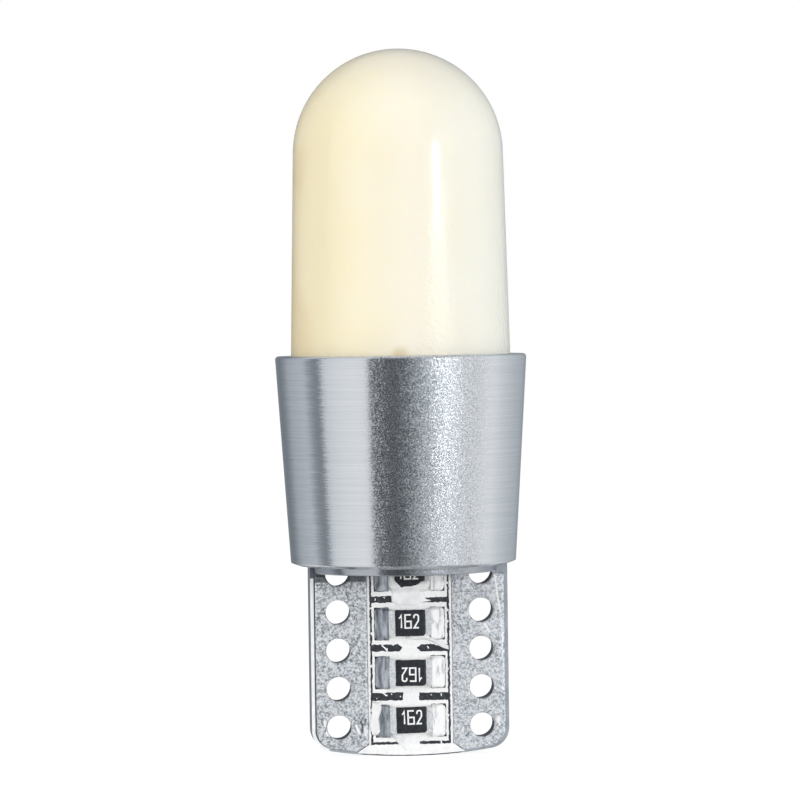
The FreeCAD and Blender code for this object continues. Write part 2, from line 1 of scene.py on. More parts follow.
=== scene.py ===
"""Wedge base LED bulb: the looks of its milky dome, turned sleeve and printed board.

Lengths are millimetres in the model's own frame until a mesh is made. On the board, across is
counted along X from the board's middle and up along Z from the tip. The chips look along -Y.
"""
import json
import math

import bmesh
import bpy
import numpy as np
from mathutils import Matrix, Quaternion, Vector, noise
from mathutils.geometry import delaunay_2d_cdt


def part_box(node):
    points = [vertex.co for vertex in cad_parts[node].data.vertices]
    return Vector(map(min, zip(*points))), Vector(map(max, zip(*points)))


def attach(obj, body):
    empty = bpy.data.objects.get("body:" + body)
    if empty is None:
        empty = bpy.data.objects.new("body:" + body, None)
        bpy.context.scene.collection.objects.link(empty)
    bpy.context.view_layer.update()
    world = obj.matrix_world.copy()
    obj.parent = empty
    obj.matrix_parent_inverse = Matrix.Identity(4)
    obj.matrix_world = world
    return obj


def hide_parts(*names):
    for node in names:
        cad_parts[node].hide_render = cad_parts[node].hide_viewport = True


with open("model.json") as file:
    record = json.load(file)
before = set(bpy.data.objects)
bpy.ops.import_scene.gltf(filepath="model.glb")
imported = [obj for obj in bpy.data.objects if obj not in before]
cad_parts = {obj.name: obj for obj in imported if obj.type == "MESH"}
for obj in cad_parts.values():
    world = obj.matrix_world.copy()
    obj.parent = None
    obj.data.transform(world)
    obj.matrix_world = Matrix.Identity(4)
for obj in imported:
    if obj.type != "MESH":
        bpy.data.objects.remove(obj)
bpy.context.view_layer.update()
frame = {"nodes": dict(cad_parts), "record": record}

MM = 0.001
TINY = 1e-6


def measure(node):
    """A CAD piece's lowest and highest corners, in millimetres."""
    return [Vector(corner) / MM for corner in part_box(node)]


# The board, its contacts and its print. BLADE and NECK are half widths
BOARD_LOW, BOARD_HIGH = measure("main_board")
LEFT_PAD, RIGHT_PAD = measure("left_contact"), measure("right_contact")
OFFSET = (BOARD_LOW.x + BOARD_HIGH.x) / 2
BLADE = (BOARD_HIGH.x - BOARD_LOW.x) / 2
FACE = BOARD_HIGH.y
SEAT = BOARD_HIGH.z
NECK = BLADE - 0.62
TIP_RADIUS = 26.0
CORNER_RADIUS = 1.0
TIN = RIGHT_PAD[1].y - FACE
COPPER = TIN / 2
PRINT = 0.03
PAD_INNER = RIGHT_PAD[0].x - OFFSET
PAD_OUTER = (OFFSET - LEFT_PAD[0].x, RIGHT_PAD[1].x - OFFSET)
PAD_MARGIN = 0.11
NECK_TOP = RIGHT_PAD[1].z
PAD_CUT = 0.57
# A plated hole's radius in front, behind and in the laminate, and its place across
VIA = 0.575
VIA_BACK = 0.66
BARREL = 0.68
VIA_ACROSS = NECK - 0.675

# The sleeve: a cone with a bevelled foot and a bore, and a lip below that is slotted for the blade
SLEEVE_LOW, SLEEVE_HIGH = measure("heat_sink_sleeve")
LIP_LOW = SLEEVE_LOW.z
BORE = math.hypot(NECK + OFFSET + 0.06, RIGHT_PAD[1].y)
LIP_BORE = BORE - 0.3
LIP = LIP_BORE + 0.35
FOOT = BORE + 0.93
COUNTERBORE = BORE + 0.87
FOOT_BEVEL = 0.4
FOOT_RISE = 0.14
SLOT_GAP = 0.04
CONE_LOW = LIP_LOW + 0.34
SHOULDER = CONE_LOW + 0.32
PAD_TOP = LIP_LOW - PAD_MARGIN
VIA_LEVELS = np.linspace(1.42, LIP_LOW - 0.03, 5)

# Chips, from the tip up: level, and how far the chip and its code have strayed from their places
CHIP_LEVELS = [sum(corner.z for corner in measure(f"resistor_glaze_{number}")) / 2
               for number in (1, 2, 3, 4)]
STRAY = (0.07, 0.0, 0.055, 0.06)
CHIP_TURN = (1.0, 0.0, 0.4, 0.0)
CODE_PLACE = ((0.01, 0.13), (0.04, -0.08), (-0.07, 0.08), (-0.07, 0.09))
CODE_TURN = (0, 180, 0, 0)
CODE = "162"
CODE_HEIGHT = 0.62
CODE_STROKE = 0.075
GLAZE = 0.045


# ---- Materials ----

class Nodes:
    """A tree of nodes, put together one by one."""

    def __init__(self, tree):
        self.tree = tree

    def feed(self, socket, value):
        """Give a node's socket a value or a link."""
        if isinstance(value, bpy.types.NodeSocket):
            self.tree.links.new(value, socket)
        else:
            socket.default_value = value

    def add(self, kind, *values, **named):
        """A node. Capital names are inputs, small ones are settings, and values go to the first inputs."""
        node = self.tree.nodes.new("ShaderNode" + kind)
        for key, value in named.items():
            if key[0].islower():
                setattr(node, key, value)
        for key, value in named.items():
            if key[0].isupper():
                self.feed(node.inputs[key.replace("_", " ")], value)
        for socket, value in zip(node.inputs, values):
            self.feed(socket, value)
        return node

    def math(self, operation, *values):
        """The result of a sum."""
        return self.add("Math", *values, operation=operation).outputs[0]

    def band(self, value, low, high, to_low=0.0, to_high=1.0, smooth=True):
        """The value's share of the way from low to high, put between two numbers."""
        kind = "SMOOTHSTEP" if smooth else "LINEAR"
        return self.add("MapRange", value, low, high, to_low, to_high, interpolation_type=kind).outputs[0]

    def mix(self, factor, one, other):
        """One colour faded into another."""
        node = self.add("Mix", data_type="RGBA")
        for index, value in ((0, factor), (6, one), (7, other)):
            if isinstance(value, tuple):
                value = (*value, 1)
            self.feed(node.inputs[index], value)
        return node.outputs[2]


class Look(Nodes):
    """A procedural material. Its patterns are measured in millimetres."""

    def __init__(self, name, color=(0.8, 0.8, 0.8), metallic=0.0, roughness=0.5, **sockets):
        self.material = bpy.data.materials.new(name)
        self.material.use_nodes = True
        super().__init__(self.material.node_tree)
        self.shader = self.tree.nodes["Principled BSDF"]
        self.set("Base Color", (*color, 1))
        self.set("Metallic", metallic)
        self.set("Roughness", roughness)
        for key, value in sockets.items():
            self.set(key.replace("_", " "), value)
        coordinates = self.add("TexCoord")
        self.place = self.add("Mapping", coordinates.outputs["Object"], Scale=(1 / MM,) * 3).outputs[0]

    def set(self, socket, value):
        """Give the shader's socket a value or a link."""
        self.feed(self.shader.inputs[socket], value)

    def axis(self, name):
        """The place along X, Y or Z."""
        return self.add("SeparateXYZ", self.place).outputs["XYZ".index(name)]

    def side(self):
        """The place across the board, from its middle."""
        return self.math("SUBTRACT", self.axis("X"), OFFSET)

    def noise(self, scale, detail=2.0, stretch=(1, 1, 1), rough=0.5, place=None):
        """A cloud pattern with this many cells to the millimetre, stretched along the axes."""
        where = self.add("Mapping", place or self.place, Scale=stretch).outputs[0]
        return self.add("TexNoise", Vector=where, Scale=scale, Detail=detail, Roughness=rough).outputs[0]

    def bump(self, height, distance, strength=1.0, under=None):
        """Raise the surface by a pattern, in millimetres."""
        named = {"Strength": strength, "Distance": distance * MM, "Height": height}
        if under is not None:
            named["Normal"] = under
        return self.add("Bump", **named).outputs[0]

    def flakes(self, scale, tilt):
        """A normal that leans another way in each small cell, as on a blasted or tinned face."""
        shade = self.add("TexVoronoi", Vector=self.place, Scale=scale).outputs["Color"]
        lean = self.add("VectorMath", shade, (0.5, 0.5, 0.5), operation="SUBTRACT").outputs[0]
        lean = self.add("VectorMath", lean, Scale=tilt, operation="SCALE").outputs[0]
        normal = self.add("NewGeometry").outputs["Normal"]
        both = self.add("VectorMath", normal, lean, operation="ADD").outputs[0]
        return self.add("VectorMath", both, operation="NORMALIZE").outputs[0]


def milky_plastic():
    """The dome: yellower on the left, with painted shade that makes its left rim darker and browner, a
    painted reflection at its foot, and faint pits on the right.
    """
    look = Look("milky_plastic", IOR=1.47, Subsurface_Weight=0.35, Subsurface_Scale=1.6 * MM)
    look.set("Subsurface Radius", (1.0, 0.8, 0.5))
    across = look.math("ADD", look.axis("X"), look.band(look.noise(0.25, 1.0), 0.2, 0.8, -0.5, 0.5))
    # Painted shade: the left rim is darker and browner than the yellow tint beside it.
    color = look.mix(look.band(across, -5.3, -4.2), (0.85, 0.70, 0.44), (0.92, 0.80, 0.545))
    color = look.mix(look.band(across, -4.4, 0.6), color, (0.955, 0.875, 0.725))
    color = look.mix(look.band(across, 0.2, 5.0), color, (1.0, 0.975, 0.845))
    # Painted reflection: a small brown spot at the dome's foot, standing in for the yellow emitter mirrored
    # there.
    painted_reflection_distance = look.add("VectorMath", look.place, (-0.45, -5.15, 19.05), operation="DISTANCE").outputs["Value"]
    color = look.mix(look.band(painted_reflection_distance, 0.1, 0.6, 0.4, 0.0), color, (0.62, 0.42, 0.16))
    look.set("Base Color", color)
    look.set("Roughness", look.band(look.axis("Z"), 19.0, 30.0, 0.21, 0.15, smooth=False))
    lower = look.band(look.axis("Z"), 29.0, 21.0, 0.08, 1.0)
    pits = look.math("MULTIPLY", lower, look.band(across, -0.4, 1.4))
    normal = look.bump(look.noise(4.0, 2.0, rough=0.7), 0.04, pits)
    look.set("Normal", look.bump(look.noise(1.1, 1.0, (1, 1, 0.6)), 0.02, under=normal))
    return look.material


def turned_aluminium():
    """The sleeve: turning lines all round, and a blasted grain on the part that faces the camera, with a
    painted sparkle of light and dark specks in its colour there; painted shade on the ring below the cone.
    """
    look = Look("turned_aluminium", metallic=1.0, Anisotropic=0.5, Anisotropic_Rotation=0.25)
    tangent = look.add("Tangent", direction_type="RADIAL", axis="Z").outputs[0]
    look.set("Tangent", tangent)
    back = look.math("MULTIPLY", look.axis("Y"), -1.0)
    angle = look.math("ARCTAN2", look.axis("X"), back)
    around = look.add("CombineXYZ", look.math("MULTIPLY", angle, 1.6), look.axis("Z"), 0.0).outputs[0]
    lines = look.noise(1.0, 3.0, (0.35, 9.0, 1.0), 0.7, around)
    fine = look.noise(1.0, 3.0, (0.9, 17.0, 1.0), 0.6, around)
    blasted = look.math("MULTIPLY", look.band(angle, -0.36, -0.22), look.band(angle, 0.5, 0.8, 1.0, 0.0))
    grain = look.noise(22.0, 2.0, rough=0.8)
    normal = look.flakes(22.0, look.band(blasted, 0.0, 1.0, 0.03, 0.2, smooth=False))
    reach = look.band(angle, -0.62, -0.42, 0.16, 0.03)
    chatter = look.math("MULTIPLY", look.math("SUBTRACT", fine, 0.5), reach)
    lean = look.add("VectorMath", tangent, Scale=chatter, operation="SCALE").outputs[0]
    normal = look.add("VectorMath", normal, lean, operation="ADD").outputs[0]
    normal = look.add("VectorMath", normal, operation="NORMALIZE").outputs[0]
    normal = look.bump(lines, 0.0022, under=normal)
    look.set("Normal", look.bump(fine, 0.0012, under=normal))
    look.set("Roughness", look.band(blasted, 0.0, 1.0, 0.2, 0.36, smooth=False))
    tone = look.mix(look.band(lines, 0.35, 0.65), (0.65, 0.68, 0.715), (0.71, 0.735, 0.765))
    # Painted sparkle: light and dark specks in the metal's colour on the grainy part, standing in for glints
    # of the lamp on the grain.
    speck = look.mix(look.band(grain, 0.38, 0.62), (0.27, 0.30, 0.34), (0.97, 0.985, 1.0))
    tone = look.mix(look.math("MULTIPLY", blasted, 0.8), tone, speck)
    # Painted shade: the ring just below the cone's foot is darkened, as if shaded by the cone above it.
    under = look.band(look.axis("Z"), CONE_LOW + 0.01, CONE_LOW - 0.03, 0.0, 0.5)
    look.set("Base Color", look.mix(under, tone, (0.16, 0.18, 0.21)))
    return look.material


def board_laminate():
    """The board: black mask in the middle, bare laminate beside the contacts, painted lighter as if lit
    beside the left contact with the lip's shadow painted on it there, and slate edges that stand in for
    shade.
    """
    look = Look("board_laminate", roughness=0.42, Coat_Weight=0.25, Coat_Roughness=0.2)
    normal = look.add("NewGeometry").outputs["Normal"]
    facing = look.math("ABSOLUTE", look.add("SeparateXYZ", normal).outputs[1])
    side = look.side()
    across = look.math("ABSOLUTE", side)
    speck = look.noise(7.0, 3.0)
    mask = look.mix(look.band(speck, 0.45, 0.75), (0.022, 0.026, 0.032), (0.055, 0.062, 0.072))
    cloud = look.band(look.noise(2.5, 3.0), 0.3, 0.7)
    # Painted light: the laminate beside the left contact is painted pale, as if lit, while the right one
    # stays blue-grey.
    pale = look.mix(cloud, (0.86, 0.87, 0.88), (0.97, 0.97, 0.97))
    bare = look.mix(cloud, (0.30, 0.335, 0.375), (0.385, 0.42, 0.46))
    bare = look.mix(look.band(side, -3.95, -3.8), pale, bare)
    under_lip = look.band(look.axis("Z"), LIP_LOW - 0.26, LIP_LOW - 0.20)
    shaded = look.math("MULTIPLY", under_lip, look.band(side, -3.8, -3.9))
    bare = look.mix(shaded, bare, (0.10, 0.12, 0.14))
    front = look.mix(look.band(across, 2.35, 2.45), mask, bare)
    # Painted shade: the board's edges are given a dark slate tone, as they look in shade.
    weave = look.noise(3.0, 2.0, (1, 6, 0.6))
    edge = look.mix(look.band(weave, 0.35, 0.7), (0.12, 0.145, 0.17), (0.27, 0.30, 0.34))
    look.set("Base Color", look.mix(look.band(facing, 0.4, 0.6), edge, front))
    look.set("Normal", look.bump(look.noise(5.0, 3.0), 0.006))
    return look.material


def tinned_pad():
    """A contact: grainy tin with nicks and its drawn scratches, painted glints on the bright scratches,
    painted shade on the left contact's grain and under the lip, and painted shade on the linings of its
    holes.
    """
    look = Look("tinned_pad")
    side = look.side()
    grain = look.noise(9.5, 4.0, rough=0.8)
    cloud = look.noise(0.9, 3.0)
    rub = look.noise(1.0, 3.0, (3.0, 1.0, 9.0), 0.6)
    nicks = [look.noise(1.0, 2.0, (2.2, 1.0, 15.0), 0.6,
                        look.add("Mapping", look.place, Rotation=(0, math.radians(turn), 0)).outputs[0])
             for turn in (35, -50)]
    normal = look.flakes(16.0, 0.12)
    look.set("Normal", look.bump(grain, 0.01, under=normal))
    # Painted shade: the dark grain is darker on the left contact than on the right, as the light comes from
    # the right.
    dark = look.mix(look.band(side, -0.2, 0.2), (0.13, 0.155, 0.185), (0.22, 0.25, 0.285))
    tone = look.mix(look.band(grain, 0.37, 0.58), dark, (0.90, 0.93, 0.97))
    tone = look.mix(look.band(rub, 0.5, 0.75, 0.0, 0.4), tone, (1.0, 1.0, 1.0))
    tone = look.mix(look.band(cloud, 0.4, 0.7, 0.0, 0.3), tone, (0.95, 0.97, 1.0))
    for nick in nicks:
        tone = look.mix(look.band(nick, 0.62, 0.70, 0.0, 0.6), tone, (0.10, 0.12, 0.14))
    under_lip = look.band(look.axis("Z"), LIP_LOW - 0.46, LIP_LOW - 0.40)
    shaded = look.math("MULTIPLY", under_lip, look.band(side, -2.0, -2.1))
    tone = look.mix(look.math("MULTIPLY", shaded, 0.85), tone, (0.10, 0.12, 0.14))
    mark = look.add("Attribute", attribute_name="mark").outputs["Fac"]
    tone = look.mix(look.band(mark, 0.0, -1.0), tone, (0.09, 0.105, 0.125))
    # Painted glints: the bright marks are painted white and not metallic.
    white = look.band(mark, 0.0, 1.0)
    tone = look.mix(white, tone, (1.0, 1.0, 1.0))
    # Painted shade: the linings of the holes are painted dark and not metallic.
    depth = look.math("ABSOLUTE", look.axis("Y"))
    bore = look.band(depth, FACE, FACE - 0.04)
    look.set("Base Color", look.mix(bore, tone, (0.13, 0.145, 0.17)))
    look.set("Metallic", look.band(look.math("MAXIMUM", white, bore), 0.0, 1.0, 0.5, 0.0))
    look.set("Roughness", look.band(grain, 0.3, 0.7, 0.56, 0.44))
    return look.material


def solder():
    """Solder: dull on the left of the chips, with painted shade, and bright on the right, a painted highlight
    that is near white and less metallic.
    """
    look = Look("solder", metallic=1.0)
    side = look.side()
    wave = look.noise(2.2, 3.0, (2.2, 1, 0.6), 0.6)
    # Painted light: the left joints are darkened as shade, and the right ones are painted near white as a
    # highlight of the lamp on the right.
    dull = look.mix(look.band(wave, 0.36, 0.66), (0.22, 0.25, 0.29), (0.56, 0.60, 0.64))
    bright = look.mix(look.band(wave, 0.34, 0.52), (0.62, 0.64, 0.67), (1.0, 1.0, 1.0))
    look.set("Base Color", look.mix(look.band(side, -0.2, 0.2), dull, bright))
    look.set("Roughness", look.band(side, -0.2, 0.2, 0.42, 0.5))
    look.set("Metallic", look.band(side, -0.2, 0.2, 0.8, 0.2))
    look.set("Normal", look.bump(wave, 0.028))
    return look.material


def tinned_pin():
    """Bright tin with a wavy skin."""
    look = Look("tinned_pin", metallic=1.0, roughness=0.25)
    wave = look.noise(6.0, 3.0, rough=0.6)
    look.set("Base Color", look.mix(look.band(wave, 0.35, 0.65), (0.6, 0.61, 0.62), (0.8, 0.81, 0.82)))
    look.set("Normal", look.bump(wave, 0.02))
    return look.material


def matt(name, dark, light, roughness=0.5, scale=4.0, depth=0.006, **sockets):
    """A plain surface with a faint mottle and grain."""
    look = Look(name, light, 0.0, roughness, **sockets)
    cloud = look.noise(scale, 3.0)
    look.set("Base Color", look.mix(look.band(cloud, 0.3, 0.7), dark, light))
    look.set("Normal", look.bump(cloud, depth))
    return look.material


LOOKS = {
    "milky_plastic": milky_plastic(),
    "turned_aluminium": turned_aluminium(),
    "board_laminate": board_laminate(),
    "tinned_pad": tinned_pad(),
    "white_print": matt("white_print", (0.90, 0.905, 0.91), (0.985, 0.985, 0.985), 0.4, 7.0),
    "tinned_pin": tinned_pin(),
    "solder": solder(),
    "chip_cap": matt("chip_cap", (0.52, 0.54, 0.565), (0.76, 0.775, 0.79), 0.35, 11.0, 0.02, Coat_Weight=0.3),
    "white_ceramic": matt("white_ceramic", (0.74, 0.75, 0.76), (0.86, 0.86, 0.86), 0.5, 8.0),
    "black_glaze": matt("black_glaze", (0.012, 0.014, 0.018), (0.03, 0.034, 0.04), 0.3, 9.0),
    "light_board": matt("light_board", (0.84, 0.84, 0.82), (0.9, 0.9, 0.88), 0.4),
    "die": matt("die", (0.2, 0.3, 0.55), (0.26, 0.37, 0.62), 0.2),
    "silicone_dam": matt("silicone_dam", (0.88, 0.88, 0.86), (0.93, 0.93, 0.91), 0.35),
    "phosphor": matt("phosphor", (0.8, 0.6, 0.08), (0.93, 0.76, 0.14), 0.35),
    "chip_case": matt("chip_case", (0.035, 0.035, 0.04), (0.06, 0.06, 0.065), 0.55, 12.0),
    "capacitor_ceramic": matt("capacitor_ceramic", (0.5, 0.38, 0.26), (0.66, 0.52, 0.37), 0.4),
}
# A dark matt sheet for the painted shade line along the left contact's edge.
EDGE_SHADE = matt("mask", (0.03, 0.035, 0.042), (0.08, 0.09, 0.1), 0.4)
GLUE = matt("glue", (0.86, 0.87, 0.88), (0.98, 0.98, 0.98), 0.2, 2.5, 0.03, Coat_Weight=0.4)


# ---- Making pieces ----

def make(name, points, faces, look, slot, replaces=(), sharp=35):
    """A piece of the bulb from points in millimetres and faces."""
    mesh = bpy.data.meshes.new(name)
    mesh.from_pydata([Vector(point) * MM for point in points], [], faces)
    solid = bmesh.new()
    solid.from_mesh(mesh)
    bmesh.ops.recalc_face_normals(solid, faces=solid.faces)
    solid.to_mesh(mesh)
    solid.free()
    mesh.shade_smooth()
    mesh.set_sharp_from_angle(angle=math.radians(sharp))
    mesh.materials.append(look)
    piece = bpy.data.objects.new(name, mesh)
    bpy.context.scene.collection.objects.link(piece)
    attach(piece, "root")
    if replaces:
        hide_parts(*replaces)
    return piece


def join(*shapes):
    """Several lots of points and faces as one."""
    points, faces = [], []
    for more_points, more_faces in shapes:
        faces += [[len(points) + index for index in face] for face in more_faces]
        points += more_points
    return points, faces


def rounded(corners, step=9.0, closed=True):
    """The points of a polygon of (x, y, radius), with each corner rounded to its radius."""
    result = []
    for index, (x, y, radius) in enumerate(corners):
        here = Vector((x, y))
        if not radius or (not closed and index in (0, len(corners) - 1)):
            result.append(here)
            continue
        back = (Vector(corners[index - 1][:2]) - here).normalized()
        onward = (Vector(corners[(index + 1) % len(corners)][:2]) - here).normalized()
        opening = back.angle(onward)
        centre = here + (back + onward).normalized() * radius / math.sin(opening / 2)
        start = here + back * radius / math.tan(opening / 2) - centre
        end = here + onward * radius / math.tan(opening / 2) - centre
        turn = math.copysign(math.pi - opening, start.cross(end))
        count = max(2, math.ceil(math.degrees(abs(turn)) / step))
        for part in range(count + 1):
            angle = turn * part / count
            result.append(centre + Vector((start.x * math.cos(angle) - start.y * math.sin(angle),
                                           start.x * math.sin(angle) + start.y * math.cos(angle))))
    return result


def circle(x, y, radius):
    """The points of a circle."""
    count = 40
    angles = [2 * math.pi * index / count for index in range(count)]
    return [Vector((x + radius * math.cos(angle), y + radius * math.sin(angle))) for angle in angles]


def lathe(profile, steps):
    """A closed profile of (radius, height) turned about the axis. A point on the axis is a pole."""
    points, rings, faces = [], [], []
    turns = [2 * math.pi * step / steps for step in range(steps)]
    for radius, height in profile:
        start = len(points)
        if radius < TINY:
            points.append((0, 0, height))
            rings.append([start] * steps)
        else:
            points += [(radius * math.cos(turn), radius * math.sin(turn), height) for turn in turns]
            rings.append(list(range(start, start + steps)))
    for low, high in zip(rings, rings[1:] + rings[:1]):
        for step in range(steps):
            following = (step + 1) % steps
            face = list(dict.fromkeys((low[step], low[following], high[following], high[step])))
            if len(face) > 2:
                faces.append(face)
    return points, faces


def inside(spots, loop):
    """Which of the spots lie in the loop."""
    ends = np.roll(loop, -1, axis=0)
    x, y = spots[:, 0:1], spots[:, 1:2]
    spans = (loop[:, 1] > y) != (ends[:, 1] > y)
    rise = np.where(ends[:, 1] == loop[:, 1], 1.0, ends[:, 1] - loop[:, 1])
    crossing = loop[:, 0] + (y - loop[:, 1]) * (ends[:, 0] - loop[:, 0]) / rise
    return (np.sum(spans & (x < crossing), axis=1) % 2).astype(bool)


def distance(spots, loops):
    """How far each spot is from the nearest loop."""
    nearest = np.full(len(spots), 1e9)
    for loop in loops:
        along = np.roll(loop, -1, axis=0) - loop
        length = np.maximum((along ** 2).sum(1), TINY ** 2)
        for first in range(0, len(spots), 2000):
            some = spots[first:first + 2000, None, :]
            share = np.clip(((some - loop) * along).sum(2) / length, 0, 1)
            gap = np.linalg.norm(some - loop - share[..., None] * along, axis=2)
            nearest[first:first + 2000] = np.minimum(nearest[first:first + 2000], gap.min(1))
    return nearest


def resample(loop, step):
    """A loop with points added, so that none of its edges is longer than the step."""
    result = []
    for here, there in zip(loop, list(loop[1:]) + [loop[0]]):
        count = max(1, math.ceil((Vector(there) - Vector(here)).length / step))
        result += [Vector(here).lerp(Vector(there), part / count) for part in range(count)]
    return result


def ragged(loop, amount, size, seed, step=0.06):
    """A loop whose line wanders a little, as print and glue do."""
    result = []
    for point in resample(loop, step):
        spot = Vector((point.x / size, point.y / size, seed))
        result.append(point + Vector((noise.noise(spot), noise.noise(spot + Vector((0, 0, 7.3))))) * amount)
    return result


def layer(outer, holes, level, side, height, cell=0.1, sink=0.0):
    """A layer on a flat face, level from the board's middle, on its front (side -1) or back (1).

    The height is a function of across, up and the distance to the edge. Loops may cross: what is
    in the outer loop and in no hole is kept.
    """
    outer = np.array(resample(outer, cell))
    holes = [np.array(resample(hole, cell)) for hole in holes]
    loops = [outer] + holes

    def kept(spots):
        result = inside(spots, outer)
        for hole in holes:
            result &= ~inside(spots, hole)
        return result

    low, high = outer.min(0), outer.max(0)
    rows = np.arange(low[1] + cell / 2, high[1], cell * 0.866)
    grid = np.array([(x + (index % 2) * cell / 2, row) for index, row in enumerate(rows)
                     for x in np.arange(low[0] + cell / 4, high[0], cell)]).reshape(-1, 2)
    grid = grid[kept(grid)] if len(grid) else grid
    grid = grid[distance(grid, loops) > cell * 0.45] if len(grid) else grid
    spots, edges = [], []
    for loop in loops:
        first = len(spots)
        spots += [Vector(point) for point in loop]
        edges += [(first + index, first + (index + 1) % len(loop)) for index in range(len(loop))]
    spots += [Vector(point) for point in grid]
    found = delaunay_2d_cdt(spots, edges, [], 0, TINY)
    flat = np.array([tuple(point) for point in found[0]])
    triangles = np.array([face for face in found[2] if len(face) == 3])
    triangles = triangles[kept(flat[triangles].mean(1))]
    used, triangles = np.unique(triangles, return_inverse=True)
    triangles = triangles.reshape(-1, 3)
    flat = flat[used]
    edge_gap = distance(flat, loops)
    heights = [height(x, z, gap) for (x, z), gap in zip(flat, edge_gap)]
    count = len(flat)
    points = [(OFFSET + x, side * (level + rise), z) for (x, z), rise in zip(flat, heights)]
    points += [(OFFSET + x, side * (level - sink), z) for x, z in flat]
    faces = [list(face) for face in triangles]
    faces += [[count + index for index in face[::-1]] for face in triangles]
    seen = {}
    for face in triangles:
        for one, other in zip(face, np.roll(face, -1)):
            seen.setdefault(frozenset((one, other)), []).append((one, other))
    for sides in seen.values():
        if len(sides) == 1:
            one, other = sides[0]
            faces.append([other, one, count + one, count + other])
    return points, faces


def rounding(thickness, reach, low=0.4):
    """A height that falls off round the edge."""
    def height(x, z, gap):
        share = min(1.0, gap / reach)
        return thickness * (low + (1 - low) * math.sqrt(1 - (1 - share) ** 2))
    return height


def ribbon(line, width):
    """The outline of a stroke drawn along a line of points."""
    line = [Vector(point) for point in line]
    left, right = [], []
    for index, point in enumerate(line):
        before = (point - line[index - 1]).normalized() if index else None
        after = (line[index + 1] - point).normalized() if index < len(line) - 1 else None
        way = ((before or after) + (after or before)).normalized()
        across = Vector((-way.y, way.x))
        stretch = 1 / max(0.5, across.dot(Vector((-(after or before).y, (after or before).x))))
        left.append(point + across * width / 2 * stretch)
        right.append(point - across * width / 2 * stretch)
    return left + right[::-1]


def soft_block(low, high, radius, cuts=8, wobble=0.0, seed=0.0):
    """A block between two corners, with round edges and a skin that wavers."""
    block = bmesh.new()
    bmesh.ops.create_cube(block, size=1)
    bmesh.ops.subdivide_edges(block, edges=block.edges, cuts=cuts, use_grid_fill=True)
    low, high = Vector(low), Vector(high)
    points = []
    for vertex in block.verts:
        spot = Vector([a + (b - a) * (c + 0.5) for a, b, c in zip(low, high, vertex.co)])
        core = Vector([min(max(c, a + radius), b - radius) for a, b, c in zip(low, high, spot)])
        spot = core + (spot - core).normalized() * radius
        wave = noise.noise(spot * 6 + Vector((seed, 0, 0))) - 0.6
        spot += (spot - (low + high) / 2).normalized() * wobble * wave
        points.append(tuple(spot))
    faces = [[vertex.index for vertex in face.verts] for face in block.faces]
    block.free()
    return points, faces


def turned(shape, degrees, up):
    """A shape on the board's front, turned in the face's plane about a point of its middle line."""
    angle = math.radians(degrees)
    points, faces = shape
    result = []
    for x, y, z in points:
        x, z = x - OFFSET, z - up
        result.append((OFFSET + x * math.cos(angle) - z * math.sin(angle), y,
                       up + x * math.sin(angle) + z * math.cos(angle)))
    return result, faces


def tip_edge(x):
    """How far up the board's curved tip is at a place across."""
    return TIP_RADIUS - math.sqrt(TIP_RADIUS ** 2 - x ** 2)


# ---- Dome and sleeve ----

def dome():
    """The dome: a round end on sides that widen a little downwards, and an open skirt."""
    low, high = measure("diffuser_dome")
    foot, taper, wall = high.x, 0.25, 0.8
    radius = foot - taper
    centre = high.z - radius
    profile = []
    for inner in (0.0, wall):
        reach = math.hypot(foot - inner, centre - low.z)
        tangent = math.atan2(low.z - centre, foot - inner) + math.acos((radius - inner) / reach)
        turns = [tangent + (math.pi / 2 - tangent) * part / 48 for part in range(49)]
        side = [(foot - inner, low.z)]
        side += [((radius - inner) * math.cos(turn), centre + (radius - inner) * math.sin(turn))
                 for turn in turns]
        side[-1] = (0.0, side[-1][1])
        profile += side[::-1] if inner else side
    make("dome", *lathe(profile, 256), LOOKS["milky_plastic"], "milky_plastic", ["diffuser_dome"], 50)


def cut_box(piece, low, high):
    """Cut the box between two corners out of a piece."""
    points = [(x, y, z) for x in (low[0], high[0]) for y in (low[1], high[1]) for z in (low[2], high[2])]
    faces = [(0, 1, 3, 2), (4, 6, 7, 5), (0, 4, 5, 1), (2, 3, 7, 6), (0, 2, 6, 4), (1, 5, 7, 3)]
    mesh = bpy.data.meshes.new("cutter")
    mesh.from_pydata([Vector(point) * MM for point in points], [], faces)
    cutter = bpy.data.objects.new("cutter", mesh)
    bpy.context.scene.collection.objects.link(cutter)
    cut = piece.modifiers.new("cut", "BOOLEAN")
    cut.object = cutter
    whole = piece.data
    piece.data = bpy.data.meshes.new_from_object(piece.evaluated_get(bpy.context.evaluated_depsgraph_get()))
    piece.modifiers.clear()
    bpy.data.objects.remove(cutter)
    bpy.data.meshes.remove(mesh)
    bpy.data.meshes.remove(whole)
    piece.data.name = piece.name


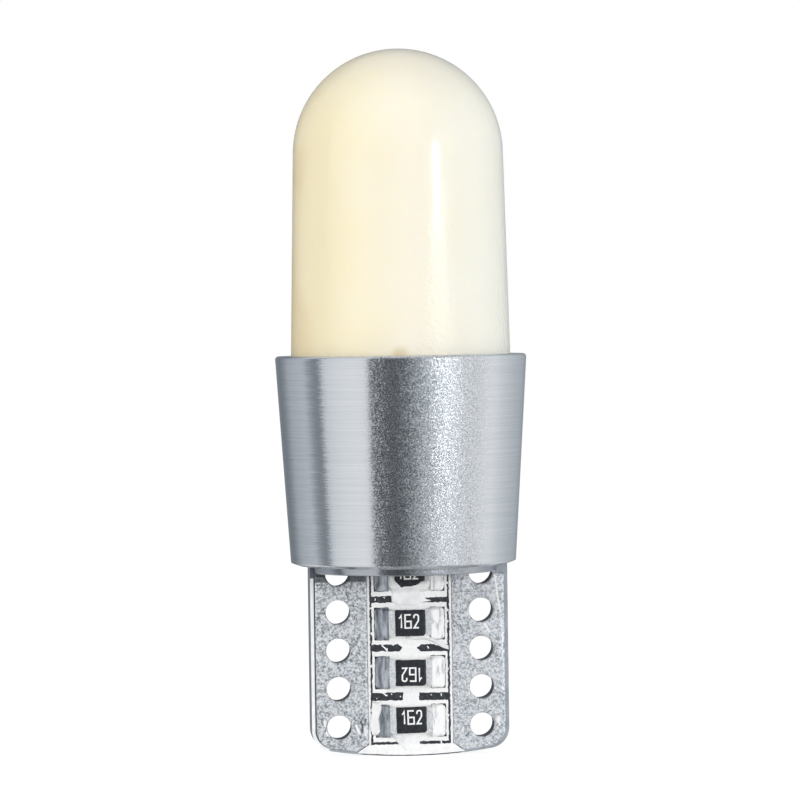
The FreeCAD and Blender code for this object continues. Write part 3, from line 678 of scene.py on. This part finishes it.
def sleeve():
    """The turned cone with its seat, and below it the lip, with a slot for the blade."""
    rim, top = SLEEVE_HIGH.x, SLEEVE_HIGH.z
    corners = [
        (LIP_BORE, LIP_LOW, 0.06),
        (LIP, LIP_LOW, 0.07),
        (LIP, CONE_LOW, 0.03),
        (FOOT - FOOT_BEVEL, CONE_LOW, 0.05),
        (FOOT, CONE_LOW + FOOT_RISE, 0.08),
        (rim, top, 0.16),
        (COUNTERBORE, top, 0.04),
        (COUNTERBORE, SEAT, 0),
        (BORE, SEAT, 0.05),
        (BORE, SHOULDER, 0),
        (LIP_BORE, SHOULDER, 0.05),
    ]
    piece = make("sleeve", *lathe(rounded(corners, 8.0), 512), LOOKS["turned_aluminium"], "turned_aluminium",
                 ["heat_sink_sleeve"], 50)
    across, deep = BLADE + SLOT_GAP, FACE + TIN + SLOT_GAP
    cut_box(piece, (OFFSET - across, -deep, LIP_LOW - 1), (OFFSET + across, deep, SHOULDER))


# ---- Board ----

def blade_outline():
    """The main board's outline: its tip, shoulders and neck."""
    tip = [(x, tip_edge(x), 0) for x in np.linspace(-BLADE, BLADE, 31)]
    for index in (0, -1):
        tip[index] = (*tip[index][:2], CORNER_RADIUS)
    reach = BLADE - 1.5 * CORNER_RADIUS
    tip = [tip[0]] + [corner for corner in tip if abs(corner[0]) < reach] + [tip[-1]]
    neck = [(BLADE, SHOULDER), (NECK, SHOULDER), (NECK, SEAT),
            (-NECK, SEAT), (-NECK, SHOULDER), (-BLADE, SHOULDER)]
    return rounded(tip + [(*corner, 0) for corner in neck], 6.0)


def board():
    """The laminate with its drilled holes, and a painted shade line: a dark line along the left contact's
    outer edge.
    """
    holes = [circle(side * VIA_ACROSS, level, BARREL) for side in (-1, 1) for level in VIA_LEVELS]
    points, faces = layer(blade_outline(), holes, FACE, -1, lambda x, z, gap: 0.0, 0.35, sink=2 * FACE)
    make("board", points, faces, LOOKS["board_laminate"], "board_laminate", ["main_board"], 30)
    # Painted shade: a dark line along the left contact's outer edge.
    line = layer(pad_outline(-1, PAD_OUTER[0] + 0.06), [pad_outline(-1, PAD_OUTER[0] - 0.02)], FACE, -1,
                 lambda x, z, gap: 0.012, 0.2)
    make("edge_shade_line", *line, EDGE_SHADE, "board_laminate")


def pad_outline(side, outer):
    """A contact's outline on one face, with its tab up the neck."""
    tab = NECK - 0.03
    cut_across = PAD_INNER + PAD_CUT
    corners = [
        (PAD_INNER, PAD_CUT, 0.08),
        (cut_across, tip_edge(cut_across) + PAD_MARGIN, 0.25),
        (outer, tip_edge(outer) + PAD_MARGIN, CORNER_RADIUS - PAD_MARGIN),
        (outer, PAD_TOP, 0.05),
        (tab, PAD_TOP, 0),
        (tab, NECK_TOP, 0.05),
        (PAD_INNER, NECK_TOP, 0.05),
    ]
    return [Vector((side * point.x, point.y)) for point in rounded(corners, 6.0)]


def barrel(side, level):
    """The lining of a plated hole."""
    points, faces = [], []
    ring = circle(0, 0, 1.0)
    sections = [(VIA, -FACE), (VIA_BACK, FACE), (BARREL, FACE), (BARREL, -FACE)]
    for radius, depth in sections:
        points += [(OFFSET + side * VIA_ACROSS + radius * spot.x, depth, level + radius * spot.y)
                   for spot in ring]
    count = len(ring)
    for section in range(4):
        for index in range(count):
            following = (index + 1) % count
            low, high = section * count, (section + 1) % 4 * count
            faces.append([low + index, low + following, high + following, high + index])
    return points, faces


# Scratches on the front contacts, the bright ones with painted glints: how bright it is, half its width, and
# its line
SCRATCHES_AND_GLINTS = [
    (-0.8, 0.025, [(-2.87, 7.2), (-2.5, 7.14), (-2.02, 6.86)]),
    (-0.7, 0.025, [(-4.42, 6.5), (-4.25, 6.92), (-3.98, 7.15)]),
    (-0.7, 0.025, [(-4.3, 4.2), (-4.08, 4.4)]),
    (1.0, 0.05, [(-2.68, 4.95), (-2.64, 4.93)]),
    (1.0, 0.045, [(-4.1, 1.72), (-4.08, 1.5)]),
    (1.0, 0.04, [(-4.02, 1.2), (-3.95, 1.05)]),
    (0.9, 0.05, [(-2.62, 1.5), (-2.48, 1.15)]),
    (-0.9, 0.05, [(-2.38, 1.66), (-2.3, 1.42), (-2.34, 1.16)]),
    (-0.8, 0.03, [(-2.2, 2.0), (-2.42, 1.66)]),
    (0.8, 0.04, [(-2.2, 1.35), (-2.14, 1.0)]),
    (-0.7, 0.035, [(-2.12, 1.8), (-2.2, 1.5)]),
    (1.0, 0.04, [(4.08, 8.55), (4.2, 7.6), (4.34, 6.76)]),
    (0.8, 0.03, [(4.36, 6.3), (4.42, 5.6), (4.4, 4.6)]),
    (1.0, 0.045, [(3.59, 6.22), (3.78, 5.84)]),
    (1.0, 0.03, [(2.74, 8.14), (2.85, 7.9)]),
    (-0.55, 0.018, [(2.1, 7.74), (3.2, 7.78), (4.55, 7.72)]),
    (1.0, 0.05, [(4.4, 3.16), (4.42, 3.08)]),
    (0.9, 0.05, [(4.22, 1.76), (4.16, 1.5)]),
    (0.9, 0.04, [(2.5, 1.3), (2.46, 1.1)]),
    (-0.8, 0.045, [(2.62, 0.9), (2.72, 1.02)]),
    (-0.6, 0.03, [(3.6, 1.24), (3.72, 0.97)]),
]


def wear(x, z):
    """How bright, above 0, as a painted glint, or dark, below 0, as a scratch, the tin is at a spot."""
    result = 0.0
    for tone, half, line in SCRATCHES_AND_GLINTS:
        for start, end in zip(line, line[1:]):
            if min(start[0], end[0]) - 0.2 < x < max(start[0], end[0]) + 0.2:
                along = Vector(end) - Vector(start)
                share = min(1.0, max(0.0, (Vector((x, z)) - Vector(start)).dot(along) / along.length_squared))
                gap = (Vector(start) + along * share - Vector((x, z))).length
                value = tone * min(1.0, max(0.0, 1.5 - gap / half))
                result = value if abs(value) > abs(result) else result
    return result


def contact(name, side, outer):
    """A tinned contact: a pad on each face, joined by the linings of its holes."""
    holes = [[circle(side * VIA_ACROSS, level, radius) for level in VIA_LEVELS] for radius in (VIA, VIA_BACK)]

    def height(x, z, gap):
        """Tin below the lip, and bare copper on the tab above it."""
        full = TIN if z < PAD_TOP else COPPER
        share = min(1.0, gap / 0.08)
        spot = Vector((x, z, side * 3.1))
        swell = 0.008 * noise.noise(spot * 1.4) + 0.006 * noise.noise(spot * 5.0)
        swell += 0.003 * noise.noise(spot * 11.0)
        return (full - 0.02) * (0.35 + 0.65 * math.sqrt(1 - (1 - share) ** 2)) + swell * share

    shapes = [layer(pad_outline(side, outer), holes[0], FACE, -1, height, 0.05),
              layer(pad_outline(side, outer), holes[1], FACE, 1, height, 0.09)]
    shapes += [barrel(side, level) for level in VIA_LEVELS]
    piece = make(name + "_tin", *join(*shapes), LOOKS["tinned_pad"], "tinned_pad", [name], 45)
    mark = piece.data.attributes.new("mark", "FLOAT", "POINT")
    for vertex, value in zip(piece.data.vertices, mark.data):
        if vertex.co.y < -FACE * MM:
            value.value = wear(vertex.co.x / MM - OFFSET, vertex.co.z / MM)


# The dark bars between the print's frames, from the tip up: the free end of each, left and right
BAR_ENDS = (
    ([(-0.52, 0.55), (-0.52, 0.68)], [(0.40, 0.56), (0.40, 0.69)]),
    ([(-0.36, 2.65), (-0.34, 3.02)], [(0.42, 2.63), (0.42, 2.99)]),
    ([(-0.50, 4.98), (-0.36, 5.16), (-0.54, 5.31)], [(0.50, 4.95), (0.35, 5.14), (0.50, 5.29)]),
    ([(-0.60, 7.30), (-0.62, 7.61)], [(0.50, 7.28), (1.03, 7.36), (0.72, 7.50), (1.0, 7.52)]),
)
# White flecks over the dark bars and gaps: their lines and widths
FLECKS = [
    (0.07, [(-1.34, 5.28), (-1.2, 5.16), (-1.08, 5.02)]),
    (0.05, [(-1.08, 5.14), (-1.08, 5.0)]),
    (0.06, [(-0.86, 5.33), (-0.76, 5.26)]),
    (0.05, [(0.84, 5.2), (0.9, 5.08)]),
    (0.06, [(1.14, 5.32), (1.32, 5.24)]),
    (0.06, [(-1.34, 3.06), (-1.18, 2.9), (-1.1, 2.88)]),
    (0.05, [(-0.92, 2.98), (-0.88, 2.94)]),
    (0.06, [(-0.5, 2.86), (-0.46, 2.8)]),
    (0.05, [(-1.62, 2.76), (-1.58, 2.74)]),
    (0.05, [(0.98, 2.9), (1.0, 2.86)]),
    (0.06, [(1.46, 2.94), (1.48, 2.82)]),
    (0.05, [(-1.62, 7.52), (-1.62, 7.4)]),
    (0.05, [(-1.22, 7.56), (-1.16, 7.52)]),
    (0.06, [(-0.78, 7.44), (-0.66, 7.42)]),
    (0.05, [(1.42, 0.7), (1.46, 0.56)]),
    (0.12, [(-1.86, 5.86), (-1.78, 5.84)]),
    (0.10, [(-1.86, 7.05), (-1.78, 7.04)]),
    (0.12, [(1.78, 6.9), (1.86, 6.88)]),
    (0.10, [(1.78, 6.38), (1.86, 6.37)]),
    (0.10, [(1.78, 8.2), (1.86, 8.18)]),
    (0.12, [(-1.9, 4.3), (-1.82, 4.3)]),
    (0.10, [(1.76, 4.1), (1.84, 4.1)]),
    (0.14, [(-1.9, 2.2), (-1.82, 2.2)]),
    (0.10, [(1.76, 1.9), (1.84, 1.9)]),
]


def legend():
    """White print on the front: the block at the tip, side lines, and a frame round each chip."""
    outer = PAD_INNER - 0.02
    gap_out = outer - 0.11
    gap_in = gap_out - 0.1
    land_in, land_out, land_half = 0.99, gap_in - 0.11, 0.78
    reach = PAD_INNER + PAD_CUT - 0.02
    tip = [Vector((x, tip_edge(x) + 0.05)) for x in np.linspace(-reach, reach, 25)]
    sides = [(outer, PAD_CUT), (outer, PAD_TOP), (-outer, PAD_TOP), (-outer, PAD_CUT)]
    outline = ragged(tip + [Vector(side) for side in sides], 0.012, 0.25, 1.0)
    holes = []
    for index, side in enumerate((-1, 1)):
        comb = [(side * gap_out, BAR_ENDS[0][index][0][1]), (side * gap_out, PAD_TOP + 0.3),
                (side * gap_in, PAD_TOP + 0.3)]
        for ends in BAR_ENDS[::-1]:
            end = ends[index]
            comb += [(side * gap_in, end[-1][1]), *end[::-1], (side * gap_in, end[0][1])]
        comb.pop()
        holes.append(ragged([Vector(point) for point in comb], 0.035, 0.13, side * 2.7, 0.04))
        for level in CHIP_LEVELS:
            window = [(land_in, level - land_half), (land_out, level - land_half),
                      (land_out, level + land_half), (land_in, level + land_half)]
            holes.append(ragged([Vector((side * x, z)) for x, z in window], 0.025, 0.15, side * level))
    make("legend_print", *layer(outline, holes, FACE, -1, rounding(PRINT, 0.03, 0.5), 0.12),
         LOOKS["white_print"], "white_print", ["front_legend"], 45)
    flecks = [layer(ragged(ribbon(line, width), 0.02, 0.08, index, 0.03), [], FACE, -1,
                    rounding(PRINT, 0.03, 0.5), 0.05) for index, (width, line) in enumerate(FLECKS)]
    make("legend_flecks", *join(*flecks), LOOKS["white_print"], "white_print")


# ---- Chip resistors ----

def numerals():
    """Squarish numerals: the line that draws each, and its width."""
    top, middle = CODE_HEIGHT, CODE_HEIGHT / 2
    return {
        "1": ([(0.0, top * 0.74), (0.06, top * 0.82), (0.11, top), (0.11, 0.0)], 0.14),
        "6": ([(0.28, top), (0.0, top), (0.0, 0.0), (0.28, 0.0), (0.28, middle), (0.02, middle)], 0.28),
        "2": (rounded([(0.0, top * 0.74, 0), (0.0, top, 0.09), (0.21, top, 0.09), (0.21, top * 0.55, 0.07),
                       (0.0, 0.0, 0), (0.23, 0.0, 0)], 15.0, closed=False), 0.22),
    }


def value_code(level, depth, place, turn):
    """A plain value code on a chip."""
    strokes = numerals()
    shapes, gap = [], 0.145
    start = -(sum(strokes[numeral][1] for numeral in CODE) + (len(CODE) - 1) * gap) / 2
    for numeral in CODE:
        line, wide = strokes[numeral]
        line = [(start + x, y - CODE_HEIGHT / 2) for x, y in line]
        shapes.append(layer(ribbon(line, CODE_STROKE), [], depth, -1, rounding(0.008, 0.02, 0.6), 0.09))
        start += wide + gap
    points, faces = turned(join(*shapes), turn, 0.0)
    return [(x + place[0], y, z + level + place[1]) for x, y, z in points], faces


def solder_joint(level, side, seed):
    """Solder that runs from a chip's end down to the board: hollow on the left, plump on the right."""
    heel, toe, half = 1.0, 1.66, 0.755
    crest, bow = (0.3, 2.2) if side < 0 else (0.36, 1.1)

    def height(x, z, gap):
        out = min(1.0, max(0.0, (abs(x) - heel) / (toe - heel)))
        slope = 0.07 + crest * (1 - out) ** bow
        edge = min(abs(abs(z - level) - half), toe - abs(x)) / 0.16
        bulge = math.sqrt(max(0.0, 1 - (1 - min(1.0, max(0.0, edge))) ** 2))
        spot = Vector((x * 5, z * 1.6, seed))
        return max(0.012, slope * (0.25 + 0.75 * bulge) + 0.05 * noise.noise(spot) * bulge)

    corners = [(heel, level - half, 0), (toe, level - half, 0.2),
               (toe, level + half, 0.2), (heel, level + half, 0)]
    outline = [Vector((side * point.x, point.y)) for point in rounded(corners)]
    return layer(ragged(outline, 0.02, 0.3, seed), [], FACE, -1, height, 0.045)


def resistor(number, level, stray, turn, place, code_turn):
    """A chip resistor: ceramic body, black glaze with its value code, end caps and solder."""
    low, high = measure(f"resistor_body_{number}")
    half, back, top = (high.z - low.z) / 2, -high.y, -low.y
    joints = [solder_joint(level, side, number * 5.3 + side) for side in (-1, 1)]
    level += stray
    shape = turned(soft_block((low.x, -top, level - half), (high.x, -back, level + half), 0.03), turn, level)
    make(f"chip_body_{number}", *shape, LOOKS["white_ceramic"], "white_ceramic", [f"resistor_body_{number}"])
    cap_low, cap_high = measure(f"resistor_caps_{number}")
    band = 0.3
    caps = []
    for side, (start, end) in ((-1, (cap_low.x, cap_low.x + band)), (1, (cap_high.x - band, cap_high.x))):
        caps.append(turned(soft_block((start, cap_low.y, level - half), (end, cap_high.y, level + half),
                                      0.06, 10, 0.03, number + side), turn, level))
    make(f"chip_caps_{number}", *join(*caps), LOOKS["chip_cap"], "chip_cap", [f"resistor_caps_{number}"])
    wide, tall = 0.725, half - 0.005
    corners = [(-wide, -tall, 0.04), (wide - 0.1, -tall, 0.1), (wide, 0.12 - tall, 0.1), (wide, tall, 0.04),
               (-wide, tall, 0.04)]
    outline = [point + Vector((0, level)) for point in rounded(corners)]
    glaze = layer(ragged(outline, 0.02, 0.2, number * 1.7), [], top, -1, rounding(GLAZE, 0.08, 0.3), 0.06)
    make(f"chip_glaze_{number}", *turned(glaze, turn, level), LOOKS["black_glaze"], "black_glaze",
         [f"resistor_glaze_{number}"])
    code = value_code(level, top + GLAZE, place, turn + code_turn)
    make(f"chip_code_{number}", *code, LOOKS["white_print"], "white_print")
    make(f"chip_solder_{number}", *join(*joints), LOOKS["solder"], "solder",
         [f"resistor_solder_{number}"], 50)


# ---- Glue ----

def heap(outline, seed, top, foot, crest):
    """Glue whose height falls from its top, above the crest's level, to its foot."""
    def height(x, z, gap):
        share = min(1.0, max(0.0, (z - crest[0]) / (crest[1] - crest[0])))
        body = foot + (top - foot) * share * share * (3 - 2 * share)
        edge = min(1.0, gap / 0.14)
        wave = 0.03 * noise.noise(Vector((x * 2.2, z * 2.2, seed)))
        return max(0.01, (body + wave) * (0.12 + 0.88 * math.sqrt(1 - (1 - edge) ** 2)))

    return layer(ragged([Vector(point) for point in outline], 0.04, 0.3, seed), [], FACE, -1, height, 0.05)


def glue():
    """White glue: a wide dab that holds the chip under the lip, and some by the others."""
    upper = heap([
        (-1.0, 8.75), (-1.02, 8.0), (-0.86, 7.9), (-0.84, 7.35), (-0.6, 7.16), (0.1, 7.1), (0.3, 7.08),
        (0.5, 7.32), (0.5, 7.76), (0.95, 7.84), (1.02, 8.3), (0.8, 8.75), (0.74, 8.42), (0.45, 8.36),
        (0.24, 8.2), (-0.4, 8.14), (-0.76, 8.6), (-0.8, 8.75),
    ], 3.0, 0.56, 0.1, (7.75, 8.12))
    strand = heap([
        (0.55, 5.8), (0.75, 5.95), (1.05, 5.62), (1.45, 5.42), (1.86, 5.2), (1.84, 5.02), (1.5, 5.14),
        (1.1, 5.36), (0.8, 5.5), (-0.2, 5.56), (-0.2, 5.7),
    ], 5.0, 0.42, 0.07, (5.2, 5.75))
    left = heap([
        (-1.84, 2.62), (-1.46, 2.6), (-1.36, 2.3), (-1.5, 1.8), (-1.42, 1.2), (-1.6, 0.98), (-1.86, 1.05),
        (-2.02, 1.5), (-1.88, 1.95),
    ], 7.0, 0.2, 0.16, (0.9, 2.4))
    lower = heap([
        (-1.0, 1.12), (-0.4, 1.14), (-0.32, 0.72), (-0.05, 0.2), (-0.3, 0.22), (-0.62, 0.6), (-0.9, 0.9),
    ], 9.0, 0.3, 0.05, (0.6, 1.2))
    make("glue", *join(upper, strand, left, lower), GLUE, "white_print", (), 60)


# ---- Stage, light and camera ----

def stage_floor():
    """A plain pale floor under the tip, which gives the camera some white of its own."""
    mesh = bpy.data.meshes.new("floor")
    half = 3.0
    corners = [(-half, -half, 0), (half, -half, 0), (half, half, 0), (-half, half, 0)]
    mesh.from_pydata(corners, [], [(0, 1, 2, 3)])
    material = bpy.data.materials.new("pale_floor")
    material.use_nodes = True
    material.node_tree.nodes.clear()
    nodes = Nodes(material.node_tree)
    share = nodes.math("MULTIPLY", nodes.add("LightPath").outputs["Is Camera Ray"], 0.8)
    plain = nodes.add("BsdfDiffuse", (0.9, 0.9, 0.9, 1))
    white = nodes.add("Emission", Strength=1.17)
    both = nodes.add("MixShader", share, plain.outputs[0], white.outputs[0])
    nodes.add("OutputMaterial", both.outputs[0])
    mesh.materials.append(material)
    floor = bpy.data.objects.new("floor", mesh)
    bpy.context.scene.collection.objects.link(floor)
    floor.visible_glossy = False


# The camera's place, in degrees and metres. At the target the view is 800 pixels of 1/21 mm wide
CAMERA_AZIMUTH = -4.6
CAMERA_ELEVATION = 1.05
CAMERA_ROLL = -0.8
CAMERA_AWAY = 0.22
TARGET = Vector((-0.06, 0, 16.89)) * MM
VIEW_WIDTH = 800 / 21.0 * MM


def direction(azimuth, elevation):
    """A unit vector from the object. Azimuth 0 is -Y and 90 is +X."""
    a, e = math.radians(azimuth), math.radians(elevation)
    return Vector((math.sin(a) * math.cos(e), -math.cos(a) * math.cos(e), math.sin(e)))


def camera():
    """The camera, at the photograph's scale."""
    lens = bpy.data.cameras.new("camera")
    lens.sensor_width = 36.0
    lens.lens = lens.sensor_width * CAMERA_AWAY / VIEW_WIDTH
    lens.clip_start = 0.01
    holder = bpy.data.objects.new("camera", lens)
    back = direction(CAMERA_AZIMUTH, CAMERA_ELEVATION)
    holder.location = TARGET + back * CAMERA_AWAY
    holder.rotation_mode = "QUATERNION"
    roll = Quaternion((0, 0, 1), math.radians(CAMERA_ROLL))
    holder.rotation_quaternion = (-back).to_track_quat("-Z", "Y") @ roll
    bpy.context.scene.collection.objects.link(holder)
    bpy.context.scene.camera = holder
    bpy.context.scene.view_settings.view_transform = "Standard"


def lamp(name, azimuth, elevation, away, width, height, radiance, glossy=False):
    """A flat soft lamp that looks at the object. Its brightness is given as that of its face."""
    light = bpy.data.lights.new(name, "AREA")
    light.shape = "RECTANGLE"
    light.size, light.size_y = width, height
    light.energy = radiance * math.pi * width * height
    holder = bpy.data.objects.new(name, light)
    way = direction(azimuth, elevation)
    holder.location = TARGET + way * away
    holder.rotation_euler = (-way).to_track_quat("-Z", "Y").to_euler()
    holder.visible_camera = False
    holder.visible_glossy = glossy
    bpy.context.scene.collection.objects.link(holder)


def studio():
    """White all round for the camera, and the lamps. Metal sees a tent with open, grey and dark parts."""
    world = bpy.data.worlds.new("studio")
    bpy.context.scene.world = world
    world.use_nodes = True
    world.node_tree.nodes.clear()
    nodes = Nodes(world.node_tree)
    way = nodes.add("SeparateXYZ", nodes.add("TexCoord").outputs["Generated"]).outputs
    angle = nodes.math("ARCTAN2", way[0], nodes.math("MULTIPLY", way[1], -1.0))
    ramp = nodes.add("ValToRGB", nodes.band(angle, -math.pi, math.pi, smooth=False))
    stops = (
        (-180, 0.30), (-152, 0.22), (-140, 0.30), (-128, 0.50), (-112, 0.58), (-102, 0.64), (-93, 0.35),
        (-82, 0.20), (-78, 0.80), (-60, 0.92), (-45, 0.97), (-31, 0.98), (-28, 0.11), (-10, 0.05), (2, 0.06),
        (9, 0.27), (18, 0.64), (30, 0.62), (55, 0.80), (74, 0.90), (86, 1.00), (96, 0.95), (110, 0.78),
        (130, 0.62), (150, 0.50), (165, 0.35),
    )
    elements = ramp.color_ramp.elements
    while len(elements) < len(stops):
        elements.new(0.5)
    for element, (azimuth, level) in zip(elements, stops):
        element.position = max(0.0, (azimuth + CAMERA_AZIMUTH) / 360 + 0.5)
        cold = 0.12 * (1 - level)
        element.color = (level * (1 - cold), level, level * (1 + cold), 1)
    tent = nodes.mix(nodes.band(way[2], 0.45, 0.8), ramp.outputs[0], (0.75, 0.76, 0.77))
    low_behind = nodes.math("MULTIPLY", nodes.band(way[2], -0.3, -0.5), nodes.band(way[1], 0.2, 0.5))
    tent = nodes.mix(low_behind, tent, (0.95, 0.95, 0.95))
    path = nodes.add("LightPath").outputs
    seen = nodes.math("MAXIMUM", path["Is Camera Ray"], path["Is Transmission Ray"])
    plain = nodes.add("Background", (1, 1, 1, 1), 0.36)
    white = nodes.add("Background", (1, 1, 1, 1), 1.0)
    metal = nodes.add("Background", tent, 1.0)
    unseen = nodes.add("MixShader", path["Is Glossy Ray"], plain.outputs[0], metal.outputs[0])
    every = nodes.add("MixShader", seen, unseen.outputs[0], white.outputs[0])
    nodes.add("OutputWorld", every.outputs[0])
    lamp("strip_lamp", CAMERA_AZIMUTH + 42, 7, 0.4, 0.05, 0.07, 14.0, glossy=True)
    lamp("side_lamp", CAMERA_AZIMUTH + 44, 2, 0.5, 0.25, 0.25, 5.5)
    lamp("left_lamp", CAMERA_AZIMUTH - 66, 6, 0.5, 0.35, 0.45, 3.7)
    lamp("front_lamp", CAMERA_AZIMUTH + 5, -4, 0.5, 0.25, 0.25, 3.0)
    lamp("top_lamp", CAMERA_AZIMUTH + 10, 62, 0.5, 0.4, 0.4, 1.0)


dome()
sleeve()
board()
contact("left_contact", -1, PAD_OUTER[0])
contact("right_contact", 1, PAD_OUTER[1])
legend()
for number, place in enumerate(zip(CHIP_LEVELS, STRAY, CHIP_TURN, CODE_PLACE, CODE_TURN), 1):
    resistor(number, *place)
glue()

# The CAD's own pieces wear the same looks
slots = {part["node"]: part["material_slot"] for part in frame["record"]["subparts"]}
for node, item in frame["nodes"].items():
    item.data.materials.clear()
    item.data.materials.append(LOOKS[slots[node]])

stage_floor()
camera()
studio()
